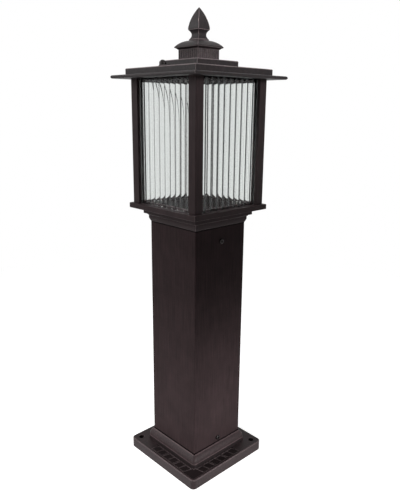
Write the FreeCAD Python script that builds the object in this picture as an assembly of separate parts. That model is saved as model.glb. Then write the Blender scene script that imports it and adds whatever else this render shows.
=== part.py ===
import FreeCAD, Part
import math
import os

# Garden bollard lantern: a cast base and a square post carry a glazed square lantern
# with a stepped roof, a ribbed neck, a domed cap and a pointed finial.
# Millimetres, +Z up, origin at the middle of the base's underside.
# The -Y side is the lantern's left front, the +X side its right front. Its corners are
# left (-X -Y), front (+X -Y), right (+X +Y) and rear (-X +Y).

V = FreeCAD.Vector
ORIGIN = V(0, 0, 0)
ALONG_X = V(1, 0, 0)
UP = V(0, 0, 1)
DOWN = V(0, 0, -1)
HEX_FLAT = math.cos(math.radians(30))    # a hexagon's flats from its middle, over its corners

# ---- clearances --------------------------------------------------------------------------
FACE_GAP = 0.3            # between pieces that lie side by side
SPIGOT_GAP = 0.4          # a spigot in the post tube, each side
SOCKET_GAP = 0.8          # the post tube in the base's skirt, each side
SCREW_GAP = 0.1           # a tightened screw in its hole, radial
TURN_GAP = 0.05           # a screw or stud in the thread that it turns in, radial
ROOTING = 1.0             # depth of a pad or boss in the plate that carries it

# ---- base casting ------------------------------------------------------------------------
FLANGE_HALF = 90.0        # half width of the square flange
FLANGE_HEIGHT = 19.0
FLANGE_CORNER_R = 8.0
FLANGE_EDGE = 1.0         # bevel round the flange's top
FLANGE_PLATE = 4.0        # thickness of the flange's top
FLANGE_RIM = 5.0          # thickness of the flange's side walls
CABLE_OPENING_HALF = 45.0
OPENING_WALL = 4.0
RIB_T = 3.0
RIB_OFFSET = 28.0         # stiffening ribs, from the middle of each side
ANCHOR_HOLE_R = 5.25
ANCHOR_BOSS_R = 11.0
ANCHOR_INSET = 14.0       # anchor hole to the flange's sides
SKIRT_HALF = 67.0
SKIRT_DRAFT = 1.5
SKIRT_WALL_HEIGHT = 11.0
SKIRT_BEVEL_HEIGHT = 10.7
SKIRT_BEVEL_BULGE = 1.1
SKIRT_CORNER_R = 6.0
SPIGOT_WALL = 4.0         # base and collar spigots
BASE_SPIGOT_HEIGHT = 43.0

# ---- cast relief on the flange, round its front and rear corners -------------------------
RELIEF_DEPTH = 1.3
RELIEF_RIM = 4.5
RELIEF_REACH = 122.0      # from the corner along each side
TILE_COUNT = 3            # raised frames on each side of a corner
TILE_START = 27.0
TILE_PITCH = 31.2
TILE_LENGTH = 29.6
TILE_RIM_GAP = 0.8        # frame to the relief's rim and to the skirt
TILE_LEAN = 4.5
TILE_BORDER = 1.6
TILE_HEIGHT = 1.0

# ---- square post tube --------------------------------------------------------------------
POST_HALF = 58.3
POST_WALL = 2.5
POST_LENGTH = 435.0
POST_CORNER_R = 2.0
FOOT_SCREW_RISE = 31.6    # above the flange
HEAD_SCREW_DROP = 25.6    # below the tube's upper end

# ---- neck collar -------------------------------------------------------------------------
COLLAR_SPIGOT_LENGTH = 39.0
COLLAR_BAND_HALF = 60.7
COLLAR_FLARE_HEIGHT = 5.5
COLLAR_BAND_HEIGHT = 5.0
COLLAR_STEP = 0.8
COLLAR_HALF = 67.0
COLLAR_COVE_HEIGHT = 3.0
COLLAR_COVE_BULGE = 0.9
COLLAR_FACE_HEIGHT = 12.5
COLLAR_WALL = 4.5
COLLAR_PLATE = 4.0
COLLAR_BOSS_HALF = 5.0
COLLAR_BOSS_DROP = 8.0

# ---- lantern tray ------------------------------------------------------------------------
TRAY_MARGIN = 5.2         # beyond the corner posts' faces
TRAY_PLATE = 6.0
TRAY_RIM = 4.0
TRAY_RIM_DROP = 2.7
TRAY_EDGE_R = 1.0
TRAY_SCREW_OFFSET = 48.0
CABLE_X = -46.0
CABLE_Y = 18.0
GROMMET_R = 8.0
GROMMET_FLANGE = 2.0
GROMMET_FLANGE_T = 2.5
GROMMET_BORE_GAP = 0.25

# ---- lantern corner posts and glazing ----------------------------------------------------
LANTERN_HALF = 79.0       # outer faces of the corner posts
CORNER_POST_WIDTH = 16.0
CORNER_POST_LENGTH = 206.0
CORNER_POST_EDGE_R = 1.0
CORNER_SCREW_INSET = 6.0  # from the corner post's outer faces
CORNER_SCREW_BITE = 16.0  # of its upper and lower screws
PANE_REVEAL = 6.0         # from the corner posts' faces back to the panes' ridges
PANE_T = 5.0
PANE_ENTRY = 3.0          # of the pane's edge in the corner post's groove
PANE_FRONT_GAP = 0.2
PANE_END_GAP = 0.3
GROOVE_BOTTOM_GAP = 0.5
FLUTE_COUNT = 10
FLUTE_DEPTH = 0.4
STRIP_T = 0.8             # glazing strip behind the pane's edge
STRIP_END_GAP = 1.0
BEAD_T = 2.5              # upstand behind the foot and the head of each pane
BEAD_HEIGHT = 4.0
HEAD_BEAD_HEIGHT = 6.0
BEAD_PANE_GAP = 1.4
BEAD_END_GAP = 0.5

# ---- frame under the roof ----------------------------------------------------------------
FRAME_PLATE = 2.5
COUNTERSINK = 2.0         # depth of the flush screw heads
ROOF_SCREW_INSET = 3.5    # roof screws, from the frame's -Y and +Y sides
FRAME_BOSS_R = 4.6
FRAME_BOSS_HEIGHT = 5.5

# ---- lampholder, cap down, on a bar along X ----------------------------------------------
BAR_WIDTH = 24.0
BAR_T = 2.5
BAR_END_GAP = 2.0
BAR_DISC_R = 25.0
BAR_SCREW_INSET = 7.0     # from the frame's side
BAR_SCREW_SPREAD = 8.0
HOLDER_SKIRT_R = 18.5
HOLDER_SKIRT_DROP = 7.5
HOLDER_BAR_GAP = 0.3
HOLDER_FLANGE_R = 22.5
HOLDER_FLANGE_T = 3.5
HOLDER_BODY_R = 19.5
HOLDER_BODY_HEIGHT = 32.5
HOLDER_SOCKET_R = 14.0
HOLDER_SOCKET_DEPTH = 26.0
CLAMP_RING_R = 23.0
CLAMP_RING_T = 4.0
CLAMP_NOTCHES = 12
CLAMP_NOTCH_DEPTH = 1.2
CLAMP_NOTCH_WIDTH = 3.0
SHELL_R = 13.6
SHELL_WALL = 0.5
SHELL_LENGTH = 19.5
SHELL_MOUTH_GAP = 1.5
CONTACT_R = 5.0
CONTACT_T = 2.5

# ---- wiring ------------------------------------------------------------------------------
BLOCK_DEPTH = 16.0        # terminal block, from the collar's inner wall
BLOCK_WIDTH = 38.0
BLOCK_HEIGHT = 20.0
BLOCK_Y = 25.0
BLOCK_TOP_RISE = 2.0      # above the post tube's upper end
BLOCK_WAYS = 3
BLOCK_WAY_PITCH = 12.0
BLOCK_WELL_DEPTH = 5.0
BLOCK_WELL_GAP = 0.4
BLOCK_SCREW_R = 1.8
BLOCK_SCREW_LENGTH = 3.0
EARTH_X = 30.0
EARTH_Y = -30.0
EARTH_STUD_R = 2.0
EARTH_STUD_LENGTH = 14.0
EARTH_NUT_R = 4.0
EARTH_NUT_T = 3.2
LEAD_R = 1.8
# The sleeved lead from the terminal block up the left rear side, over to the lampholder.
LEAD_START = [(-46.0, 18.0, -29.7), (-46.0, 18.0, 24.0)]  # heights from the tray's top
LEAD_END = [  # heights from the frame's underside
    (-50.5, 16.0, -58.0), (-54.0, -52.0, -5.0), (-38.0, -58.0, 10.0), (-7.2, -18.6, 13.0),
]
LEAD_ARC_SHARE = 0.45     # of the shorter run that an arc takes up

# ---- roof --------------------------------------------------------------------------------
EAVE_OVERHANG = 24.0      # beyond the corner posts' faces
EAVE_DROP = 0.7           # eave below the frame's underside
EAVE_T = 5.3
TIER_FRAME_GAP = 1.5      # frame to the lower tier's wall
TIER_HEIGHT = 10.7
TIER_WALL = 4.7
TIER_EDGE_R = 0.8
ROOF_RISE = 3.7
UPPER_TIER_HALF = 45.6
UPPER_TIER_HEIGHT = 8.5
UPPER_TIER_WALL = 3.2
CROWN_RISE = 2.2
CROWN_T = 5.2
CEILING_T = 3.0
ROOF_PAD_WIDTH = 13.0
ROOF_BOSS_R = 6.0
SCREW_PAD_R = 6.5
SCREW_PAD_RISE = 0.1      # above the roof's slope at the pad's inner side

# ---- ribbed neck, domed cap and finial ---------------------------------------------------
NECK_HALF = 24.0
NECK_HEIGHT = 14.7
NECK_BORE_R = 21.5
NECK_RIBS = 11            # on each side
NECK_GROOVE = 0.9
NECK_RIB_FLANK = 1.3      # width of a rib's slope
NECK_SCREW_OFFSET = 19.5
NECK_SCREW_BITE = 6.0
CAP_LIP_HALF = 28.5
CAP_LIP_HEIGHT = 2.9
CAP_LIP_BULGE = 0.5
CAP_SHOULDER_HALF = 26.9
CAP_SHOULDER_HEIGHT = 3.0
CAP_SHOULDER_BULGE = 0.4
CAP_DOME_HEIGHT = 8.2
CAP_DOME_BULGE = 1.6
CAP_HOLLOW_HALF = 15.5
CAP_HOLLOW_WALL_HEIGHT = 3.6
CAP_TOP_T = 4.0
CAP_WASHER_ROOM = 1.0     # round the washer under the cap's top
STUD_R = 3.0
STUD_BELOW = 12.5         # stud ends, from the cap's top
STUD_ABOVE = 25.5
STUD_BORE_ROOM = 2.0      # of the finial's bore beyond the stud
STUD_NUT_R = 5.5
STUD_NUT_T = 5.0
STUD_WASHER_R = 7.0
STUD_WASHER_T = 1.2
FINIAL_FOOT_HALF = 11.5
FINIAL_FOOT_HEIGHT = 1.8
FINIAL_NECK_HALF = 8.5
FINIAL_NECK_RISE = 7.0
FINIAL_NECK_HEIGHT = 3.0
FINIAL_SHOULDER_HALF = 12.5
FINIAL_SHOULDER_RISE = 6.0
FINIAL_SHOULDER_HEIGHT = 3.0
FINIAL_COVE_BULGE = 0.5
FINIAL_SPEAR_HEIGHT = 30.5
FINIAL_SPEAR_BULGE = 1.9
FINIAL_TIP_HALF = 0.5

# ---- screws: shank radius, head radius (a hexagon's to its corners), head height ---------
M5_R = 2.5
M5_HEAD_R = 4.5
M5_HEAD_T = 3.0
M5_HEX_R = 4.6
M5_HEX_T = 3.5
M4_R = 1.95
M4_HEAD_R = 3.8
M4_HEX_R = 4.0
M4_HEX_T = 2.6
M3_R = 1.45
M3_HEX_R = 3.2
M3_HEX_T = 2.0
ROOF_SCREW_HEX_R = 5.6
ROOF_SCREW_HEX_T = 3.2
ROOF_SCREW_DOME_T = 4.0
ROOF_SCREW_TOP_R = 2.8
ROOF_SEAL_T = 1.0
ROOF_SCREW_PANE_CLEARANCE = 1.4

# ---- roof widths worked out from the lantern's -------------------------------------------
TRAY_HALF = LANTERN_HALF + TRAY_MARGIN
EAVE_HALF = LANTERN_HALF + EAVE_OVERHANG
TIER_CAVITY_HALF = LANTERN_HALF + TIER_FRAME_GAP
TIER_HALF = TIER_CAVITY_HALF + TIER_WALL
UPPER_CAVITY_HALF = UPPER_TIER_HALF - UPPER_TIER_WALL
ROOF_SLOPE = ROOF_RISE / (TIER_HALF - UPPER_TIER_HALF)
ROOF_SCREW_OFFSET = LANTERN_HALF - ROOF_SCREW_INSET

# ---- levels worked out from the heights above --------------------------------------------
Z_POST_TOP = FLANGE_HEIGHT + POST_LENGTH
Z_BAND = Z_POST_TOP + COLLAR_FLARE_HEIGHT
Z_COVE = Z_BAND + COLLAR_BAND_HEIGHT
Z_COLLAR_FACE = Z_COVE + COLLAR_COVE_HEIGHT
Z_TRAY = Z_COLLAR_FACE + COLLAR_FACE_HEIGHT
Z_TRAY_TOP = Z_TRAY + TRAY_PLATE
Z_FRAME = Z_TRAY_TOP + CORNER_POST_LENGTH
Z_FRAME_TOP = Z_FRAME + FRAME_PLATE
Z_EAVE = Z_FRAME - EAVE_DROP
Z_EAVE_TOP = Z_EAVE + EAVE_T
Z_TIER_TOP = Z_EAVE_TOP + TIER_HEIGHT
Z_ROOF_BREAK = Z_TIER_TOP + ROOF_RISE
Z_SCREW_PAD = Z_TIER_TOP + ROOF_SLOPE * (TIER_HALF - ROOF_SCREW_OFFSET + SCREW_PAD_R) + SCREW_PAD_RISE
Z_ROOF_SCREW = Z_SCREW_PAD + ROOF_SEAL_T
Z_UPPER_TIER_TOP = Z_ROOF_BREAK + UPPER_TIER_HEIGHT
Z_NECK = Z_UPPER_TIER_TOP + CROWN_RISE
Z_CAP = Z_NECK + NECK_HEIGHT
Z_CAP_TOP = Z_CAP + CAP_LIP_HEIGHT + CAP_SHOULDER_HEIGHT + CAP_DOME_HEIGHT
Z_BAR_TOP = Z_FRAME_TOP + BAR_T
Z_HOLDER_MOUTH = Z_FRAME_TOP - HOLDER_SKIRT_DROP
Z_HOLDER_TOP = Z_BAR_TOP + HOLDER_FLANGE_T + HOLDER_BODY_HEIGHT
Z_SHELL = Z_HOLDER_MOUTH + SHELL_MOUTH_GAP

# ---- plan places worked out from the widths above ----------------------------------------
SPIGOT_HALF = POST_HALF - POST_WALL - SPIGOT_GAP
SPIGOT_INNER = SPIGOT_HALF - SPIGOT_WALL
SKIRT_TOP_HALF = POST_HALF + SOCKET_GAP
ANCHOR_OFFSET = FLANGE_HALF - ANCHOR_INSET
CORNER_POST_INNER = LANTERN_HALF - CORNER_POST_WIDTH
CORNER_SCREW_OFFSET = LANTERN_HALF - CORNER_SCREW_INSET
PANE_FACE = LANTERN_HALF - PANE_REVEAL
PANE_BACK = PANE_FACE - PANE_T
PANE_HALF = CORNER_POST_INNER + PANE_ENTRY
BEAD_FACE = PANE_BACK - BEAD_PANE_GAP
BEAD_BACK = BEAD_FACE - BEAD_T
BEAD_HALF_LENGTH = CORNER_POST_INNER - BEAD_END_GAP


# ---- helpers -----------------------------------------------------------------------------
def box(x0, x1, y0, y1, z0, z1):
    """A box between two values on each axis."""
    return Part.makeBox(x1 - x0, y1 - y0, z1 - z0, V(x0, y0, z0))


def block(half, z0, z1):
    """A square block on the vertical axis."""
    return box(-half, half, -half, half, z0, z1)


def rounded_block(half, radius, z0, z1):
    """A square block with rounded upright edges."""
    solid = block(half, z0, z1)
    uprights = [e for e in solid.Edges if abs(e.Vertexes[0].Z - e.Vertexes[-1].Z) > 0.1]
    return solid.makeFillet(radius, uprights)


def pillar(x, y, half, z0, z1):
    """A square block on an upright line."""
    return box(x - half, x + half, y - half, y + half, z0, z1)


def rod(x, y, radius, z0, z1):
    """An upright cylinder."""
    return Part.makeCylinder(radius, z1 - z0, V(x, y, z0), UP)


def cross_drill(half, z):
    """A hole for the post's screws, along X through both sides."""
    return Part.makeCylinder(M5_R + SCREW_GAP, 2 * half, V(-half, 0, z), ALONG_X)


def hexagon(x, y, radius, z0, z1):
    """An upright hexagonal prism, radius to its corners."""
    corners = []
    for k in range(7):
        angle = math.radians(60 * k)
        corners.append(V(x + radius * math.cos(angle), y + radius * math.sin(angle), z0))
    return Part.Face(Part.makePolygon(corners)).extrude(V(0, 0, z1 - z0))


def turned(shape, degrees):
    """A copy turned about the vertical axis."""
    copy = shape.copy()
    copy.rotate(ORIGIN, UP, degrees)
    return copy


def four_sides(shape):
    """The shape on each of the four sides."""
    return [turned(shape, 90 * k) for k in range(4)]


def corners(offset):
    """The four points of a square pattern."""
    return [(sx * offset, sy * offset) for sx in (-1, 1) for sy in (-1, 1)]


def joined(first, others):
    """One solid of several."""
    return first.fuse(others).removeSplitter()


def profile_edges(steps, side):
    """Edges up one side of a profile. A step is (half width, z), or (half width, z, bulge)
    for an arc that bulges outwards by that much, or inwards where it is negative."""
    edges = []
    half0, z0 = steps[0][0], steps[0][1]
    for step in steps[1:]:
        half1, z1 = step[0], step[1]
        start = V(side * half0, 0, z0)
        end = V(side * half1, 0, z1)
        if len(step) == 3:
            chord = math.hypot(half1 - half0, z1 - z0)
            half_mid = (half0 + half1) / 2 + step[2] * (z1 - z0) / chord
            z_mid = (z0 + z1) / 2 - step[2] * (half1 - half0) / chord
            edges.append(Part.Arc(start, V(side * half_mid, 0, z_mid), end).toShape())
        else:
            edges.append(Part.LineSegment(start, end).toShape())
        half0, z0 = half1, z1
    return edges


def square_moulding(steps):
    """A square solid whose four sides have one profile, mitred at its corners."""
    reach = 2 * max(step[0] for step in steps)
    low, high = steps[0], steps[-1]
    edges = profile_edges(steps, 1) + profile_edges(steps, -1)
    edges.append(Part.LineSegment(V(-low[0], 0, low[1]), V(low[0], 0, low[1])).toShape())
    edges.append(Part.LineSegment(V(-high[0], 0, high[1]), V(high[0], 0, high[1])).toShape())
    face = Part.Face(Part.Wire(Part.sortEdges(edges)[0]))
    face.translate(V(0, -reach, 0))
    along_y = face.extrude(V(0, 2 * reach, 0))
    return along_y.common(turned(along_y, 90)).removeSplitter()


def mitre_edges(solid):
    """The edges of a square moulding that stand over its diagonals."""
    found = []
    for edge in solid.Edges:
        ends = [edge.Vertexes[0], edge.Vertexes[-1]]
        on_diagonal = all(abs(abs(p.X) - abs(p.Y)) < 0.01 and abs(p.X) > 1 for p in ends)
        if on_diagonal and abs(ends[0].Z - ends[1].Z) > 0.5:
            found.append(edge)
    return found


def top_edges(solid, z):
    """The edges that lie in a level plane."""
    return [e for e in solid.Edges if all(abs(p.Z - z) < 0.01 for p in e.Vertexes)]


def hex_screw(shank_r, shank_length, head_r, head_t):
    """A hexagon screw along Z: the head's underside at 0, the shank below it."""
    return joined(hexagon(0, 0, head_r, 0, head_t), [rod(0, 0, shank_r, -shank_length, 0)])


def placed(shape, x, y, z, axis=UP):
    """A copy whose Z axis points along the given axis from the given point."""
    copy = shape.copy()
    copy.Placement = FreeCAD.Placement(V(x, y, z), FreeCAD.Rotation(UP, axis))
    return copy


# ---- base --------------------------------------------------------------------------------
def relief_tile(start):
    """A raised leaning frame with a slanted bar, on the -Y side's flange."""
    z0 = FLANGE_HEIGHT - RELIEF_DEPTH
    near = RELIEF_RIM + TILE_RIM_GAP
    far = FLANGE_HALF - SKIRT_HALF - TILE_RIM_GAP

    def leaning(s0, s1, t0, t1):
        """A prism between two distances from the corner and two from the flange's side."""
        points = []
        for s, t in ((s0, t0), (s1, t0), (s1, t1), (s0, t1), (s0, t0)):
            lean = TILE_LEAN * (far - t) / (far - near)
            points.append(V(FLANGE_HALF - s - lean, t - FLANGE_HALF, z0))
        return Part.Face(Part.makePolygon(points)).extrude(V(0, 0, TILE_HEIGHT))

    end = start + TILE_LENGTH
    frame = leaning(start, end, near, far)
    opening = leaning(start + TILE_BORDER, end - TILE_BORDER, near + TILE_BORDER, far - TILE_BORDER)
    middle = (start + end) / 2
    bar = leaning(middle - TILE_BORDER / 2, middle + TILE_BORDER / 2, near, far)
    return frame.cut(opening).fuse(bar)


def flange_relief():
    """The sunk band round the front corner and the raised frames in it."""
    z0 = FLANGE_HEIGHT - RELIEF_DEPTH
    band = rounded_block(FLANGE_HALF - RELIEF_RIM, FLANGE_CORNER_R - RELIEF_RIM, z0, FLANGE_HEIGHT)
    reach = RELIEF_REACH - FLANGE_HALF
    left_arm = box(-reach, FLANGE_HALF, -FLANGE_HALF, -SKIRT_HALF, z0, FLANGE_HEIGHT)
    right_arm = box(SKIRT_HALF, FLANGE_HALF, -FLANGE_HALF, reach, z0, FLANGE_HEIGHT)
    pocket = band.common(left_arm.fuse(right_arm))
    tiles = [relief_tile(TILE_START + TILE_PITCH * k) for k in range(TILE_COUNT)]
    tiles += [tile.mirror(ORIGIN, V(1, 1, 0)) for tile in tiles]
    return pocket, tiles


def base_casting():
    underside = FLANGE_HEIGHT - FLANGE_PLATE
    ring_half = CABLE_OPENING_HALF + OPENING_WALL
    rim_inner = FLANGE_HALF - FLANGE_RIM
    flange = rounded_block(FLANGE_HALF, FLANGE_CORNER_R, 0, FLANGE_HEIGHT)
    flange = flange.makeChamfer(FLANGE_EDGE, top_edges(flange, FLANGE_HEIGHT))
    hollow = rounded_block(rim_inner, FLANGE_CORNER_R - FLANGE_RIM, 0, underside)
    flange = flange.cut(hollow.cut(block(ring_half, 0, underside)))

    ribs = []
    for offset in (-RIB_OFFSET, RIB_OFFSET):
        rib = box(offset - RIB_T / 2, offset + RIB_T / 2, -rim_inner, -ring_half, RIB_T, underside)
        ribs += four_sides(rib)
    anchors = [(-ANCHOR_OFFSET, -ANCHOR_OFFSET), (ANCHOR_OFFSET, ANCHOR_OFFSET)]
    bosses = [rod(x, y, ANCHOR_BOSS_R, 0, underside) for x, y in anchors]
    flange = joined(flange, ribs + bosses)

    pocket, tiles = flange_relief()
    flange = flange.cut([pocket, turned(pocket, 180)])

    z_bevel = FLANGE_HEIGHT + SKIRT_WALL_HEIGHT
    z_skirt_top = z_bevel + SKIRT_BEVEL_HEIGHT
    skirt = square_moulding([
        (SKIRT_HALF, FLANGE_HEIGHT),
        (SKIRT_HALF - SKIRT_DRAFT, z_bevel),
        (SKIRT_TOP_HALF, z_skirt_top, SKIRT_BEVEL_BULGE),
    ])
    skirt = skirt.makeFillet(SKIRT_CORNER_R, mitre_edges(skirt))
    skirt = skirt.cut(block(SKIRT_TOP_HALF, FLANGE_HEIGHT, z_skirt_top))
    spigot = block(SPIGOT_HALF, FLANGE_HEIGHT, FLANGE_HEIGHT + BASE_SPIGOT_HEIGHT)
    spigot = spigot.cut(block(SPIGOT_INNER, FLANGE_HEIGHT, FLANGE_HEIGHT + BASE_SPIGOT_HEIGHT))
    tiles += [turned(tile, 180) for tile in tiles]
    body = joined(flange, [skirt, spigot] + tiles)

    body = body.cut(block(CABLE_OPENING_HALF, 0, FLANGE_HEIGHT))
    body = body.cut([rod(x, y, ANCHOR_HOLE_R, 0, FLANGE_HEIGHT) for x, y in anchors])
    z_screw = FLANGE_HEIGHT + FOOT_SCREW_RISE
    return body.cut(cross_drill(SPIGOT_HALF, z_screw))


# ---- post and collar ---------------------------------------------------------------------
def post_tube():
    tube = rounded_block(POST_HALF, POST_CORNER_R, FLANGE_HEIGHT, Z_POST_TOP)
    tube = tube.cut(block(POST_HALF - POST_WALL, FLANGE_HEIGHT, Z_POST_TOP))
    levels = (FLANGE_HEIGHT + FOOT_SCREW_RISE, Z_POST_TOP - HEAD_SCREW_DROP)
    return tube.cut([cross_drill(POST_HALF, z) for z in levels])


def post_screws(z):
    """A pair of round-headed screws through the tube into a spigot, on the -X and +X sides."""
    length = POST_WALL + SPIGOT_GAP + SPIGOT_WALL
    screw = joined(rod(0, 0, M5_HEAD_R, 0, M5_HEAD_T), [rod(0, 0, M5_R, -length, 0)])
    right = placed(screw, POST_HALF, 0, z, ALONG_X)
    return Part.makeCompound([right, turned(right, 180)])


def neck_collar():
    outer = square_moulding([
        (POST_HALF, Z_POST_TOP),
        (COLLAR_BAND_HALF, Z_BAND),
        (COLLAR_BAND_HALF, Z_COVE),
        (COLLAR_BAND_HALF + COLLAR_STEP, Z_COVE),
        (COLLAR_HALF, Z_COLLAR_FACE, -COLLAR_COVE_BULGE),
        (COLLAR_HALF, Z_TRAY),
    ])
    z_spigot = Z_POST_TOP - COLLAR_SPIGOT_LENGTH
    z_plate = Z_TRAY - COLLAR_PLATE
    outer = joined(outer, [block(SPIGOT_HALF, z_spigot, Z_POST_TOP)])
    cavity = square_moulding([
        (SPIGOT_INNER, z_spigot),
        (SPIGOT_INNER, Z_POST_TOP),
        (COLLAR_BAND_HALF - COLLAR_WALL, Z_BAND),
        (COLLAR_BAND_HALF - COLLAR_WALL, Z_COVE),
        (COLLAR_HALF - COLLAR_WALL, Z_COLLAR_FACE),
        (COLLAR_HALF - COLLAR_WALL, z_plate),
    ])
    body = outer.cut(cavity)
    places = corners(TRAY_SCREW_OFFSET)
    z_boss = z_plate - COLLAR_BOSS_DROP
    body = joined(body, [pillar(x, y, COLLAR_BOSS_HALF, z_boss, z_plate) for x, y in places])
    holes = [rod(x, y, M5_R + SCREW_GAP, z_boss, Z_TRAY) for x, y in places]
    holes.append(rod(CABLE_X, CABLE_Y, GROMMET_R + SCREW_GAP, z_plate, Z_TRAY))
    holes.append(rod(EARTH_X, EARTH_Y, EARTH_STUD_R + SCREW_GAP, z_plate, Z_TRAY))
    holes.append(cross_drill(SPIGOT_HALF, Z_POST_TOP - HEAD_SCREW_DROP))
    return body.cut(holes)


# ---- lantern -----------------------------------------------------------------------------
def bead_bars(z0, z1):
    """Upstands behind the four panes."""
    bar = box(-BEAD_HALF_LENGTH, BEAD_HALF_LENGTH, -BEAD_FACE, -BEAD_BACK, z0, z1)
    return four_sides(bar)


def lantern_tray():
    z_rim = Z_TRAY - TRAY_RIM_DROP
    plate = block(TRAY_HALF, z_rim, Z_TRAY_TOP)
    plate = plate.makeFillet(TRAY_EDGE_R, top_edges(plate, Z_TRAY_TOP))
    plate = plate.cut(block(TRAY_HALF - TRAY_RIM, z_rim, Z_TRAY))
    plate = joined(plate, bead_bars(Z_TRAY_TOP, Z_TRAY_TOP + BEAD_HEIGHT))
    holes = [rod(x, y, M5_R + SCREW_GAP, Z_TRAY, Z_TRAY_TOP) for x, y in corners(TRAY_SCREW_OFFSET)]
    holes += [rod(x, y, M4_R + SCREW_GAP, Z_TRAY, Z_TRAY_TOP) for x, y in corners(CORNER_SCREW_OFFSET)]
    holes.append(rod(CABLE_X, CABLE_Y, GROMMET_R + SCREW_GAP, Z_TRAY, Z_TRAY_TOP))
    holes.append(rod(EARTH_X, EARTH_Y, EARTH_STUD_R + SCREW_GAP, Z_TRAY, Z_TRAY_TOP))
    return plate.cut(holes)


def tray_screws():
    screw = hex_screw(M5_R, TRAY_PLATE + COLLAR_PLATE + COLLAR_BOSS_DROP, M5_HEX_R, M5_HEX_T)
    return Part.makeCompound([placed(screw, x, y, Z_TRAY_TOP) for x, y in corners(TRAY_SCREW_OFFSET)])


def tray_grommet():
    """Rubber bush that the lead passes through, from the collar into the lantern."""
    z_low = Z_TRAY - COLLAR_PLATE - GROMMET_FLANGE_T
    z_high = Z_TRAY_TOP + GROMMET_FLANGE_T
    flange_r = GROMMET_R + GROMMET_FLANGE
    lower = rod(CABLE_X, CABLE_Y, flange_r, z_low, z_low + GROMMET_FLANGE_T)
    upper = rod(CABLE_X, CABLE_Y, flange_r, Z_TRAY_TOP, z_high)
    bush = joined(rod(CABLE_X, CABLE_Y, GROMMET_R, z_low, z_high), [lower, upper])
    return bush.cut(rod(CABLE_X, CABLE_Y, LEAD_R + GROMMET_BORE_GAP, z_low, z_high))


def corner_post():
    """The right corner post, with a groove for each of its two panes."""
    inner, outer = CORNER_POST_INNER, LANTERN_HALF
    post = box(inner, outer, inner, outer, Z_TRAY_TOP, Z_FRAME)
    edge = [e for e in post.Edges
            if all(abs(p.X - outer) < 0.01 and abs(p.Y - outer) < 0.01 for p in e.Vertexes)]
    post = post.makeFillet(CORNER_POST_EDGE_R, edge)
    depth = PANE_ENTRY + GROOVE_BOTTOM_GAP
    back = PANE_BACK - STRIP_T - PANE_FRONT_GAP
    front = PANE_FACE + PANE_FRONT_GAP
    for_right_front = box(back, front, inner, inner + depth, Z_TRAY_TOP, Z_FRAME)
    for_right_rear = box(inner, inner + depth, back, front, Z_TRAY_TOP, Z_FRAME)
    port = rod(CORNER_SCREW_OFFSET, CORNER_SCREW_OFFSET, M4_R + SCREW_GAP, Z_TRAY_TOP, Z_FRAME)
    return post.cut([for_right_front, for_right_rear, port])


def corner_post_screws_lower():
    """Screws up through the tray, hidden by its rim."""
    screw = hex_screw(M4_R, TRAY_PLATE + CORNER_SCREW_BITE, M4_HEX_R, M4_HEX_T)
    return Part.makeCompound([placed(screw, x, y, Z_TRAY, DOWN) for x, y in corners(CORNER_SCREW_OFFSET)])


def countersink(x, y, gap):
    """The cone of a flush screw head in the frame's top."""
    low = V(x, y, Z_FRAME_TOP - COUNTERSINK)
    return Part.makeCone(M4_R + gap, M4_HEAD_R + gap, COUNTERSINK, low, UP)


def corner_post_screws_upper():
    screws = []
    for x, y in corners(CORNER_SCREW_OFFSET):
        shank = rod(x, y, M4_R, Z_FRAME - CORNER_SCREW_BITE, Z_FRAME_TOP - COUNTERSINK)
        screws.append(joined(shank, [countersink(x, y, 0)]))
    return Part.makeCompound(screws)


def fluted_pane():
    """The left front pane: concave upright flutes outside, flat inside."""
    z0 = Z_TRAY_TOP + PANE_END_GAP
    height = CORNER_POST_LENGTH - 2 * PANE_END_GAP
    pitch = 2 * PANE_HALF / FLUTE_COUNT
    edges = []
    for k in range(FLUTE_COUNT):
        x0 = -PANE_HALF + pitch * k
        ridge = V(x0, -PANE_FACE, z0)
        hollow = V(x0 + pitch / 2, -PANE_FACE + FLUTE_DEPTH, z0)
        next_ridge = V(x0 + pitch, -PANE_FACE, z0)
        edges.append(Part.Arc(ridge, hollow, next_ridge).toShape())
    outline = [V(PANE_HALF, -PANE_FACE, z0), V(PANE_HALF, -PANE_BACK, z0),
               V(-PANE_HALF, -PANE_BACK, z0), V(-PANE_HALF, -PANE_FACE, z0)]
    edges += [Part.LineSegment(a, b).toShape() for a, b in zip(outline, outline[1:])]
    return Part.Face(Part.Wire(edges)).extrude(V(0, 0, height))


def glazing_strips():
    """Rubber strips behind both upright edges of each pane."""
    front = PANE_BACK - PANE_FRONT_GAP / 2
    back = front - STRIP_T
    z0 = Z_TRAY_TOP + STRIP_END_GAP
    z1 = Z_FRAME - STRIP_END_GAP
    left = box(-PANE_HALF, -CORNER_POST_INNER, -front, -back, z0, z1)
    right = box(CORNER_POST_INNER, PANE_HALF, -front, -back, z0, z1)
    return Part.makeCompound(four_sides(left) + four_sides(right))


def top_frame():
    plate = block(LANTERN_HALF, Z_FRAME, Z_FRAME_TOP).cut(block(BEAD_BACK, Z_FRAME, Z_FRAME_TOP))
    z_boss = Z_FRAME_TOP + FRAME_BOSS_HEIGHT
    places = (-ROOF_SCREW_OFFSET, ROOF_SCREW_OFFSET)
    bosses = [rod(0, y, FRAME_BOSS_R, Z_FRAME_TOP, z_boss) for y in places]
    frame = joined(plate, bead_bars(Z_FRAME - HEAD_BEAD_HEIGHT, Z_FRAME) + bosses)
    holes = [rod(0, y, M5_R + TURN_GAP, Z_FRAME, z_boss) for y in places]
    for x, y in corners(CORNER_SCREW_OFFSET):
        holes.append(rod(x, y, M4_R + SCREW_GAP, Z_FRAME, Z_FRAME_TOP))
        holes.append(countersink(x, y, SCREW_GAP))
    holes += [rod(x, y, M3_R + SCREW_GAP, Z_FRAME, Z_FRAME_TOP) for x, y in bar_screw_places()]
    return frame.cut(holes)


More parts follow.
